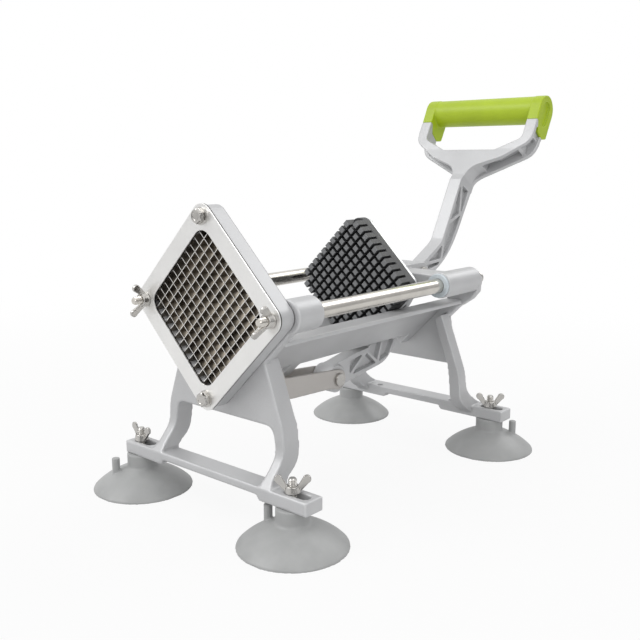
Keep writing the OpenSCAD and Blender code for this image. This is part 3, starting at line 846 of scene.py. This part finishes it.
def slab(half: float, radius: float, front: float, back: float, bevel: float, steps: int = 8
         ) -> bpy.types.Mesh:
    """A square plate with rounded corners and bevelled edges, drawn in X and Z.

    Args:
        half: Half its side.
        radius: Radius of its corners.
        front: Its front face's place along Y.
        back: Its rear face's place.
        bevel: Width of its bevels.
        steps: Stretches in each corner.

    Returns:
        The mesh.
    """
    maker = bmesh.new()
    rings = []
    knee = 0.3 * bevel
    for inset, depth in ((bevel, front), (knee, front + knee), (0.0, front + bevel),
                         (0.0, back - bevel), (knee, back - knee), (bevel, back)):
        ring = []
        for quarter, (side_x, side_z) in enumerate(((1, 1), (-1, 1), (-1, -1), (1, -1))):
            for i in range(steps + 1):
                angle = math.pi / 2 * (quarter + i / steps)
                ring.append(maker.verts.new((
                    side_x * (half - radius) + (radius - inset) * math.cos(angle), depth,
                    side_z * (half - radius) + (radius - inset) * math.sin(angle))))
        rings.append(ring)
    maker.faces.new(rings[0])
    maker.faces.new(rings[-1])
    for low, high in zip(rings, rings[1:]):
        for i in range(len(low)):
            j = (i + 1) % len(low)
            maker.faces.new((low[i], low[j], high[j], high[i]))
    return finish_mesh(maker, "slab")


# ---------- What repeats ----------


class Repeater(Tree):
    """A Geometry Nodes tree with named inputs, run once and turned into a plain mesh."""

    def __init__(self, name: str, inputs: dict[str, float | int]) -> None:
        """Starts the tree.

        Args:
            name: The tree's name.
            inputs: The inputs' names and values.
        """
        super().__init__(bpy.data.node_groups.new(name, "GeometryNodeTree"))
        self.values = inputs
        sockets = self.tree.interface
        sockets.new_socket("Geometry", in_out="OUTPUT", socket_type="NodeSocketGeometry")
        for label, value in inputs.items():
            kind = "NodeSocketInt" if isinstance(value, int) else "NodeSocketFloat"
            sockets.new_socket(label, in_out="INPUT", socket_type=kind)
        self.start = self.tree.nodes.new("NodeGroupInput")

    def asked(self, label: str) -> Expr:
        """Returns a named input."""
        return Expr(self, self.start.outputs[label])

    def made_of(self, kind: str, inputs: dict, settings: dict | None = None) -> Socket:
        """Returns what a new node makes, given its type, inputs and settings."""
        return self.node(kind, settings, inputs).outputs[0]

    def vector(self, parts: "dict[int, Expr | float]") -> Socket:
        """Returns a vector made of the given parts, by their numbers."""
        return self.made_of("ShaderNodeCombineXYZ", parts)

    def place(self) -> Socket:
        """Returns the place of each point."""
        return self.made_of("GeometryNodeInputPosition", {})

    def run(self, geometry: Socket, material: bpy.types.Material) -> bpy.types.Mesh:
        """Ends the tree and runs it.

        Args:
            geometry: What the tree has made.
            material: The material that it gets.

        Returns:
            The mesh.
        """
        real = self.made_of("GeometryNodeRealizeInstances", {"Geometry": geometry})
        dressed = self.made_of("GeometryNodeSetMaterial", {"Geometry": real, "Material": material})
        self.node("NodeGroupOutput", {}, {0: dressed})

        def add(holder: bpy.types.Object) -> None:
            """Adds the tree with its inputs set.

            Args:
                holder: The object that holds the mesh.
            """
            modifier = holder.modifiers.new("repeat", "NODES")
            modifier.node_group = self.tree
            for item in self.tree.interface.items_tree:
                if item.in_out == "INPUT":
                    modifier[item.identifier] = self.values[item.name]

        return baked(bpy.data.meshes.new("seed"), add)


# ---------- Sub-assemblies ----------


@dataclass
class Layout:
    """Places that several sub-assemblies share, read from the model's boxes."""

    axis_z: float = field(init=False)
    rod_x: float = field(init=False)
    rod_r: float = field(init=False)
    front_y: float = field(init=False)
    opening: float = 84.0 * MM
    pitch: float = 7.0 * MM
    cells: int = 12
    stud_r: float = 3.0 * MM

    def __post_init__(self) -> None:
        """Reads the boxes."""
        low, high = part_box("guide_rod_right")
        self.axis_z = (low[2] + high[2]) / 2
        self.rod_x = (low[0] + high[0]) / 2
        self.rod_r = (high[0] - low[0]) / 2
        self.front_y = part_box("blade_holder")[1][1]

    def diamond(self, y: float) -> Matrix:
        """Returns the place on the blade axis, on edge, of a drawing made in X and Z."""
        return (Matrix.Translation((0.0, y, self.axis_z))
                @ Matrix.Rotation(math.radians(45.0), 4, "Y"))


@dataclass
class SubAssembly:
    """A group of pieces, with the bench that they are made on and the layout they keep to."""

    bench: Bench
    layout: Layout

    def build(self) -> None:
        """Makes the pieces."""
        raise NotImplementedError


@dataclass
class Castings(SubAssembly):
    """The painted castings, remade with the rounded edges of a casting.

    Each one has its node, its body and its cells' share of the common cell.
    """

    cell: float = 0.9 * MM
    passes: int = 2
    keep: float = 0.4
    castings: tuple[tuple[str, str, float], ...] = (
        ("front_frame", "frame", 1.0), ("rear_frame", "frame", 1.0), ("trough", "frame", 1.0),
        ("blade_holder", "frame", 0.8), ("carriage", "carriage", 0.9), ("lever", "lever", 0.65))

    def build(self) -> None:
        """Makes each casting."""
        for node, body, share in self.castings:
            mesh = self.bench.softened(node, Rounding(share * self.cell, self.passes, self.keep))
            self.bench.piece(node + "_casting", mesh, Slot.CAST, body, [node])


@dataclass
class Cassette(SubAssembly):
    """The blade cassette: the cover sheet, the blade grid and the bolts.

    The crown is the top of a bolt's head: points of its share of the hexagon's inner radius
    and its depth under the top.
    """

    blade_t: float = 0.5 * MM
    strip_rows: int = 7
    strip_reach: float = 3.0 * MM
    wedge: float = 0.2
    cover_bevel: float = 0.45 * MM
    shank_chamfer: float = 0.5 * MM
    washer_r: float = 6.2 * MM
    washer_t: float = 1.2 * MM
    washer_edge: float = 0.25 * MM
    washer_gap: float = 0.1 * MM
    hex_r: float = 5.5 * MM
    hex_chamfer: float = 0.7 * MM
    crown: tuple[Point2, ...] = (
        (0.97, 0.12 * MM), (0.9, 0.0), (0.62, 0.0), (0.55, 0.25 * MM), (0.0, 0.25 * MM))

    def _grid(self, material: bpy.types.Material) -> bpy.types.Mesh:
        """The two sets of blades, crossing.

        Args:
            material: The blades' material.

        Returns:
            Their mesh, in place.
        """
        low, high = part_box("blades")
        made = Repeater("blade_grid", {
            "Blades": self.layout.cells - 1, "Pitch": self.layout.pitch,
            "Thickness": self.blade_t, "Length": self.layout.opening + 2 * self.strip_reach,
            "Depth": high[1] - low[1]})
        first = (made.asked("Blades") - 1.0) * -0.5 * made.asked("Pitch")
        joined = made.node("GeometryNodeJoinGeometry")
        for across in (0, 2):
            row = made.made_of("GeometryNodeMeshLine", {
                "Count": made.asked("Blades"), "Start Location": made.vector({across: first}),
                "Offset": made.vector({across: made.asked("Pitch")})}, {"mode": "OFFSET"})
            size = made.vector({across: made.asked("Thickness"), 1: made.asked("Depth"),
                                2 - across: made.asked("Length")})
            strip = made.node("GeometryNodeMeshCube", {}, {
                "Vertices Y": self.strip_rows, "Size": size}).outputs["Mesh"]
            made.feed(joined.inputs[0], made.made_of("GeometryNodeInstanceOnPoints", {
                "Points": row, "Instance": self._ground(made, strip, across)}))
        real = made.made_of("GeometryNodeRealizeInstances", {"Geometry": joined.outputs[0]})
        facing = made.parts(made.made_of("GeometryNodeInputNormal", {}))[1]
        marked = made.made_of("GeometryNodeStoreNamedAttribute", {
            "Geometry": real, "Name": GROUND_EDGE, "Value": abs(facing) > 0.5},
            {"data_type": "FLOAT", "domain": "FACE"})
        mesh = made.run(marked, material)
        mesh.transform(self.layout.diamond((low[1] + high[1]) / 2))
        return mesh

    def _ground(self, made: Repeater, strip: Socket, across: int) -> Socket:
        """Grinds the rear edge of a strip to a wedge.

        Args:
            made: The tree.
            strip: The strip's mesh.
            across: The number of the axis that the strip is thin along.

        Returns:
            The ground strip.
        """
        thin = [1.0, 1.0, 1.0]
        thin[across] = self.wedge
        pinched = made.made_of("ShaderNodeVectorMath", {0: made.place(), 1: thin},
                               {"operation": "MULTIPLY"})
        at_rear = made.parts(made.place())[1] > made.asked("Depth") * ROW_END
        return made.made_of("GeometryNodeSetPosition", {
            "Geometry": strip, "Selection": at_rear, "Position": pinched})

    def _bolt(self, node: str) -> bpy.types.Mesh:
        """A hexagon bolt with its washer, its head towards the front.

        Args:
            node: The node that it replaces.

        Returns:
            The mesh.
        """
        low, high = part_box(node)
        place = Vector(((low[0] + high[0]) / 2, 0.0, (low[2] + high[2]) / 2))
        stud, face, top, end = self.layout.stud_r, self.washer_t, -low[1], -high[1]
        flat = self.hex_r * math.cos(math.pi / 6)
        shank = [(0.0, end), (stud - self.shank_chamfer, end), (stud, self.shank_chamfer + end),
                 (stud, 0.0)]
        washer = rounded_outline([(stud, 0.0), (self.washer_r, 0.0), (self.washer_r, face),
                                  (self.hex_r, face)], self.washer_edge, 2)
        head = [(self.hex_r, face + self.washer_gap), (self.hex_r, top - self.hex_chamfer),
                *((flat * share, top - depth) for share, depth in self.crown)]
        return turned([*shank, *washer[1:], *head], Axis.TOWARDS_FRONT, place, 72, flat)

    def build(self) -> None:
        """Makes the cassette's pieces."""
        strips = self._grid(self.bench.wardrobe.of(Slot.BLADE))
        self.bench.piece("blade_strips", strips, Slot.BLADE, "frame", ["blades"])
        cover = self.bench.bevelled("cover_plate", self.cover_bevel, 3)
        self.bench.piece("cover_sheet", cover, Slot.COVER, "frame", ["cover_plate"])
        for end in ("top", "bottom"):
            node = "cover_bolt_" + end
            self.bench.piece(node + "_head", self._bolt(node), Slot.PLATED, "frame", [node])


@dataclass
class Runners(SubAssembly):
    """The guide rods with their threaded studs, and the bushings that slide on them."""

    chamfer: float = 0.8 * MM
    clearance: float = 0.05 * MM
    collar_t: float = 3.0 * MM
    collar_reach: float = 2.0 * MM
    collar_edge: float = 0.7 * MM
    bore_joint: float = 2.0 * MM
    steps: int = 96

    def _rod(self, node: str) -> list[Point2]:
        """Outline of a guide rod with its stud.

        Args:
            node: The node that it replaces.

        Returns:
            Points of (radius, place along Y).
        """
        low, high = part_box(node)
        rod, stud, front, chamfer = (self.layout.rod_r, self.layout.stud_r, self.layout.front_y,
                                     self.chamfer)
        return [(0.0, low[1]), (stud - chamfer, low[1]), *threaded(stud, low[1] + chamfer, front),
                (rod - chamfer, front), (rod, front + chamfer), (rod, high[1] - chamfer),
                (rod - chamfer, high[1]), (0.0, high[1])]

    def _bushing(self, node: str) -> list[Point2]:
        """Outline of a bushing with its collar at the front.

        Args:
            node: The node that it replaces.

        Returns:
            Points of (radius, place along Y).
        """
        low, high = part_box(node)
        bore = self.layout.rod_r + self.clearance
        outer = (high[0] - low[0]) / 2
        sleeve = outer - self.collar_reach
        collar, joint = low[1] + self.collar_t, low[1] + self.bore_joint
        return rounded_outline(
            [(bore, joint), (bore, low[1]), (outer, low[1]), (outer, collar), (sleeve, collar),
             (sleeve, high[1]), (bore, high[1]), (bore, joint)], self.collar_edge)

    def build(self) -> None:
        """Makes rods and bushings."""
        for side, name in ((-1, "left"), (1, "right")):
            place = Vector((side * self.layout.rod_x, 0.0, self.layout.axis_z))
            for piece, node, outline, slot, body in (
                    ("rod_", "guide_rod_", self._rod, Slot.ROD, "frame"),
                    ("bearing_", "bushing_", self._bushing, Slot.BUSHING, "carriage")):
                mesh = turned(outline(node + name), Axis.TOWARDS_BACK, place, self.steps)
                self.bench.piece(piece + name, mesh, slot, body, [node + name])


@dataclass
class Pusher(SubAssembly):
    """The pusher: a block with a square pin for each chip, and the sheet behind it."""

    groove_w: float = 2.4 * MM
    pin_l: float = 11.0 * MM
    sink: float = 0.4 * MM
    tip_chamfer: float = 0.45 * MM
    tip_slope: float = 1.6
    corner_r: float = 9.0 * MM
    block_bevel: float = 0.6 * MM
    sheet_bevel: float = 0.4 * MM

    def _pins(self, half: float, material: bpy.types.Material) -> bpy.types.Mesh:
        """The pins. Those of the outer rows reach out to the block's sides.

        Args:
            half: Half the block's side.
            material: The pins' material.

        Returns:
            The mesh, with its tips at zero.
        """
        cells, pitch = self.layout.cells, self.layout.pitch
        pin_w = pitch - self.groove_w
        outermost = (cells - 1) / 2 * pitch
        made = Repeater("pins", {
            "Cells": cells, "Span": 2 * outermost, "Pin width": pin_w,
            "Pin length": self.pin_l + self.sink, "Chamfer": self.tip_chamfer,
            "Extra": half - outermost - pin_w / 2})
        count, span, extra = made.asked("Cells"), made.asked("Span"), made.asked("Extra")
        grid = made.node("GeometryNodeMeshGrid", {}, {
            "Size X": span, "Size Y": span, "Vertices X": count, "Vertices Y": count})
        points = made.made_of("GeometryNodeMeshToPoints", {"Mesh": grid.outputs["Mesh"]})
        sides = made.parts(made.place())[:2]
        outer = [abs(side) > span * ROW_END for side in sides]
        kept = made.made_of("GeometryNodeDeleteGeometry", {
            "Geometry": points, "Selection": outer[0] * outer[1]}, {"domain": "POINT"})
        moved = [side + side.apply("SIGN") * out * (extra * 0.5)
                 for side, out in zip(sides, outer)]
        wide = [1.0 + out * (extra / made.asked("Pin width")) for out in outer]
        sized = made.made_of("GeometryNodeStoreNamedAttribute", {
            "Geometry": kept, "Name": "size",
            "Value": made.vector({0: wide[0], 1: 1.0, 2: wide[1]})},
            {"data_type": "FLOAT_VECTOR", "domain": "POINT"})
        set_out = made.made_of("GeometryNodeSetPosition", {
            "Geometry": sized, "Position": made.vector({0: moved[0], 2: moved[1]})})
        size = made.made_of("GeometryNodeInputNamedAttribute", {"Name": "size"},
                            {"data_type": "FLOAT_VECTOR"})
        return made.run(made.made_of("GeometryNodeInstanceOnPoints", {
            "Points": set_out, "Instance": self._pin(made), "Scale": size}), material)

    def _pin(self, made: Repeater) -> Socket:
        """One pin: three rows of corners, the first drawn in for the chamfer.

        Args:
            made: The tree.

        Returns:
            The pin's mesh, with its tip at zero.
        """
        width, length, chamfer = (made.asked(label) for label in
                                  ("Pin width", "Pin length", "Chamfer"))
        bar = made.node("GeometryNodeMeshCube", {}, {
            "Size": made.vector({0: width, 1: length, 2: width}), "Vertices Y": 3})
        across, along, up = made.parts(made.place())
        quarter = length * 0.5 * 0.5
        at_tip = along < quarter * -1.0
        at_root = along > quarter
        between = 1.0 - at_tip - at_root
        narrow = 1.0 - at_tip * (chamfer * self.tip_slope / width)
        spot = made.vector({0: across * narrow, 1: at_root * length + between * chamfer,
                            2: up * narrow})
        return made.made_of("GeometryNodeSetPosition", {
            "Geometry": bar.outputs["Mesh"], "Position": spot})

    def build(self) -> None:
        """Makes the pusher."""
        low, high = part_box("pusher_block")
        spread = (high[0] - low[0]) / 2
        half = (spread + self.corner_r * (math.sqrt(2) - 1)) / math.sqrt(2)
        maker = bmesh.new()
        maker.from_mesh(self._pins(half, self.bench.wardrobe.of(Slot.BLACK)))
        maker.from_mesh(slab(half, self.corner_r, self.pin_l, high[1] - low[1],
                             self.block_bevel))
        mesh = finish_mesh(maker, "pusher")
        mesh.transform(self.layout.diamond(low[1]))
        self.bench.piece("pusher_face", mesh, Slot.BLACK, "carriage", ["pusher_block"])
        sheet = self.bench.bevelled("backing_plate", self.sheet_bevel, 2)
        self.bench.piece("backing_sheet", sheet, Slot.SHEET, "carriage", ["backing_plate"])


@dataclass
class Feet(SubAssembly):
    """The four suction feet with their studs and wing nuts, and the cover's two wing nuts."""

    cup: Rounding = Rounding(0.7 * MM, 3, 0.5)
    nut: Rounding = Rounding(0.35 * MM, 2, 0.6)
    low_chamfer: float = 0.6 * MM
    high_chamfer: float = 0.8 * MM

    def _stud(self, node: str) -> bpy.types.Mesh:
        """A threaded stud with chamfered ends.

        Args:
            node: The node that it replaces.

        Returns:
            The mesh.
        """
        (left, front, low), (right, back, high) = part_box(node)
        centre = Vector(((left + right) / 2, (front + back) / 2, 0.0))
        r = self.layout.stud_r
        thread = threaded(r, low + self.low_chamfer, high - self.high_chamfer)
        outline = [(0.0, low), (r - self.low_chamfer, low), *thread,
                   (r - self.high_chamfer, high), (0.0, high)]
        return turned(outline, Axis.UP, centre, 32)

    def build(self) -> None:
        """Makes cups, studs and nuts."""
        for corner in ("front_left", "front_right", "rear_left", "rear_right"):
            cup, stud = "cup_" + corner, "foot_stud_" + corner
            self.bench.piece("suction_" + corner, self.bench.softened(cup, self.cup),
                             Slot.RUBBER, "frame", [cup])
            self.bench.piece("stud_" + corner, self._stud(stud), Slot.PLATED, "frame", [stud])
            self._make_nut("wing_" + corner, "foot_nut_" + corner)
        for side in ("left", "right"):
            self._make_nut("wing_cover_" + side, "cover_nut_" + side)

    def _make_nut(self, name: str, node: str) -> None:
        """Makes a wing nut, which is a body of its own."""
        self.bench.piece(name, self.bench.softened(node, self.nut), Slot.PLATED, node, [node])


@dataclass
class Handle(SubAssembly):
    """The moulded grip at the lever's end."""

    rounding: Rounding = Rounding(0.6 * MM, 4, 0.6)

    def build(self) -> None:
        """Makes the grip."""
        grip = self.bench.softened("grip", self.rounding)
        self.bench.piece("grip_moulding", grip, Slot.GREEN, "lever", ["grip"])


@dataclass
class Linkage(SubAssembly):
    """The folded drag link, and the pins at its ends and at the lever's pivot."""

    rounding: Rounding = Rounding(0.5 * MM, 2, 0.5)
    pin_bevel: float = 0.5 * MM

    def build(self) -> None:
        """Makes the link and rounds the pins' heads."""
        link = self.bench.softened("drag_link", self.rounding)
        self.bench.piece("link_folding", link, Slot.LINK, "drag_link", ["drag_link"])
        for node, body in (("link_pin", "lever"), ("pivot_pin", "carriage"),
                           ("anchor_pin", "frame")):
            pin = self.bench.bevelled(node, self.pin_bevel, 3)
            self.bench.piece(node + "_turned", pin, Slot.PLATED, body, [node])


# ---------- Studio ----------


@dataclass
class Studio:
    """The floor, the lamps, the world and the camera.

    Each lamp has a name, a place, a side and a power, and each card a name, a place, its width
    and height and its brightness. All of them face the focus. Angles are in degrees.
    """

    camera_at: Triple = (0.4299, -0.3762, 0.2578)
    azimuth: float = 40.6
    elevation: float = 10.96
    lens: float = 46.1
    sensor: float = 36.0
    clip_end: float = 50.0
    focus: Triple = (0.0, 0.13, 0.15)
    lamps: tuple[tuple[str, Triple, float, float], ...] = (
        ("key", (-0.9, -1.1, 1.5), 1.0, 10.5),
        ("fill", (1.5, -0.4, 0.9), 1.2, 5.5),
        ("rim", (0.3, 1.6, 1.4), 1.0, 6.0))
    cards: tuple[tuple[str, Triple, Point2, float], ...] = (
        ("card_low", (1.2, -0.3, 0.0), (2.2, 0.5), 0.06),
        ("card_left", (-1.4, -0.5, 0.5), (0.5, 1.2), 0.12),
        ("card_front", (0.7, -1.3, 0.35), (0.5, 0.9), 0.10))
    horizon: Colour = (0.46, 0.46, 0.465)
    zenith: Colour = (0.98, 0.98, 0.98)
    sky_lean: Point2 = (0.42, 0.16)
    sky_steps: Point2 = (-0.35, 0.95)
    floor_half: float = 6.0
    floor_colour: Colour = (0.66, 0.66, 0.66)
    floor_white: float = 0.9
    floor_steps: Point2 = (0.35, 1.1)

    def _camera(self) -> None:
        """Sets the camera at the photograph's angle."""
        data = bpy.data.cameras.new("camera")
        data.sensor_width = self.sensor
        data.lens = self.lens
        data.clip_end = self.clip_end
        az, el = math.radians(self.azimuth), math.radians(self.elevation)
        ahead = Vector((-math.sin(az) * math.cos(el), math.cos(az) * math.cos(el), -math.sin(el)))
        camera = in_scene("camera", data)
        camera.location = self.camera_at
        camera.rotation_euler = ahead.to_track_quat("-Z", "Y").to_euler()
        bpy.context.scene.camera = camera

    def _lamp(self, name: str, at: Triple, size: float, watts: float) -> None:
        """Adds a square lamp.

        Args:
            name: Its name.
            at: Its place.
            size: Its side.
            watts: Its power.
        """
        data = bpy.data.lights.new(name, "AREA")
        data.shape = "SQUARE"
        data.size = size
        data.energy = watts
        lamp = in_scene(name, data)
        lamp.location = at
        to_focus = Vector(self.focus) - Vector(at)
        lamp.rotation_euler = to_focus.to_track_quat("-Z", "Y").to_euler()

    def _shown(self, graph: Graph, share: Expr, others: Socket, shown: Socket, output: str
               ) -> None:
        """Ends a graph with two shaders, of which the camera shows the second.

        Args:
            graph: The graph.
            share: How much of the second shader is mixed in.
            others: The shader that lights and reflects.
            shown: The shader that the camera shows.
            output: The type of the output node.
        """
        both = graph.node("ShaderNodeMixShader", {}, {0: share, 1: others, 2: shown})
        graph.node(output, {}, {"Surface": both.outputs[0]})

    def _world(self) -> None:
        """Lights the scene evenly, and shows white behind it."""
        world = bpy.data.worlds.new("studio")
        world.use_nodes = True
        bpy.context.scene.world = world
        graph = Graph(world.node_tree)
        east, north, up = graph.parts(graph.node("ShaderNodeTexCoord").outputs["Generated"])
        height = up - east * self.sky_lean[0] - north * self.sky_lean[1]
        sky = graph.mix(height.above(*self.sky_steps), self.horizon, self.zenith)
        soft, white = (graph.node("ShaderNodeBackground", {}, {"Color": colour, "Strength": 1.0})
                       for colour in (sky, WHITE))
        self._shown(graph, graph.seen(), soft.outputs[0], white.outputs[0],
                    "ShaderNodeOutputWorld")

    def _floor(self) -> None:
        """Lays the floor, white where it is seen and with the object's soft shadow."""
        mesh = square("floor", self.floor_half)
        floor = in_scene("floor", mesh)
        material, graph = new_material("floor")
        matt = graph.node("ShaderNodeBsdfDiffuse", {}, {"Color": self.floor_colour})
        ground = graph.node("ShaderNodeVectorMath", {"operation": "LENGTH"}, {0: graph.place()})
        far = Expr(graph, ground.outputs["Value"]).above(*self.floor_steps)
        glow = graph.node("ShaderNodeEmission", {}, {"Color": WHITE, "Strength": 1.0})
        share = graph.seen() * (self.floor_white + far * (1.0 - self.floor_white))
        self._shown(graph, share, matt.outputs[0], glow.outputs[0], "ShaderNodeOutputMaterial")
        mesh.materials.append(material)

    def _dark_card(self, name: str, at: Triple, size: Point2, grey: float) -> None:
        """Adds a grey card that only shows in reflections, for contrast on bright metal.

        Args:
            name: Its name.
            at: Its middle.
            size: Its width and height.
            grey: Its brightness.
        """
        mesh = square(name, 0.5)
        turn = (Vector(self.focus) - Vector(at)).to_track_quat("Z", "Y").to_matrix().to_4x4()
        mesh.transform(Matrix.Translation(at) @ turn @ Matrix.Diagonal((*size, 1.0, 1.0)))
        card = in_scene(name, mesh)
        for ray in ("camera", "diffuse", "shadow", "transmission", "volume_scatter"):
            setattr(card, "visible_" + ray, False)
        material, graph = new_material(name)
        glow = graph.node("ShaderNodeEmission", {}, {"Color": (grey,) * 3, "Strength": 1.0})
        graph.node("ShaderNodeOutputMaterial", {}, {"Surface": glow.outputs[0]})
        mesh.materials.append(material)

    def build(self) -> None:
        """Sets up the whole studio."""
        self._camera()
        self._world()
        self._floor()
        for lamp in self.lamps:
            self._lamp(*lamp)
        for card in self.cards:
            self._dark_card(*card)
        bpy.context.scene.view_settings.view_transform = "Standard"


def main() -> None:
    """Builds the looks of every sub-assembly, then the studio."""
    logging.basicConfig(level=logging.INFO, format="%(message)s")
    wardrobe = Wardrobe(FINISHES)
    wardrobe.dress_nodes()
    bench = Bench(wardrobe)
    layout = Layout()
    for kind in (Castings, Cassette, Runners, Pusher, Feet, Handle, Linkage):
        kind(bench, layout).build()
    Studio().build()


if __name__ == "__main__":
    main()
